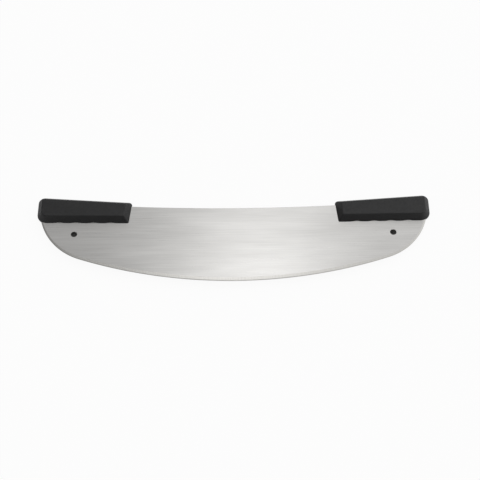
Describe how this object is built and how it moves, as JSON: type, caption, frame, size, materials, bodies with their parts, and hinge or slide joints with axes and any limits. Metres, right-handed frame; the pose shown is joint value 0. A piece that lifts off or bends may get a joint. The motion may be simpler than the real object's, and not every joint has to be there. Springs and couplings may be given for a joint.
{
  "type": "pizza rocker knife",
  "caption": "Crescent stainless steel rocker knife for cutting pizza, with a black moulded handle over each upper corner of the blade and a hanging hole below each handle.",
  "frame": {"origin": "bottom centre of the knife's box, under the middle of the blade, at the level of the handles' back faces", "axes": "+X along the knife from the left handle to the right handle, +Y from the cutting edge to the spine, +Z out of the front face"},
  "size_m": [0.508, 0.122, 0.02],
  "materials": {
    "blade_steel": "satin, ground lengthways, with a finer ground bevel along the cutting edge",
    "handle_plastic": "black polypropylene with a fine moulded texture"
  },
  "bodies": {
    "root": {"blade": "blade_steel", "left_handle": "handle_plastic", "right_handle": "handle_plastic"}
  },
  "joints": []
}
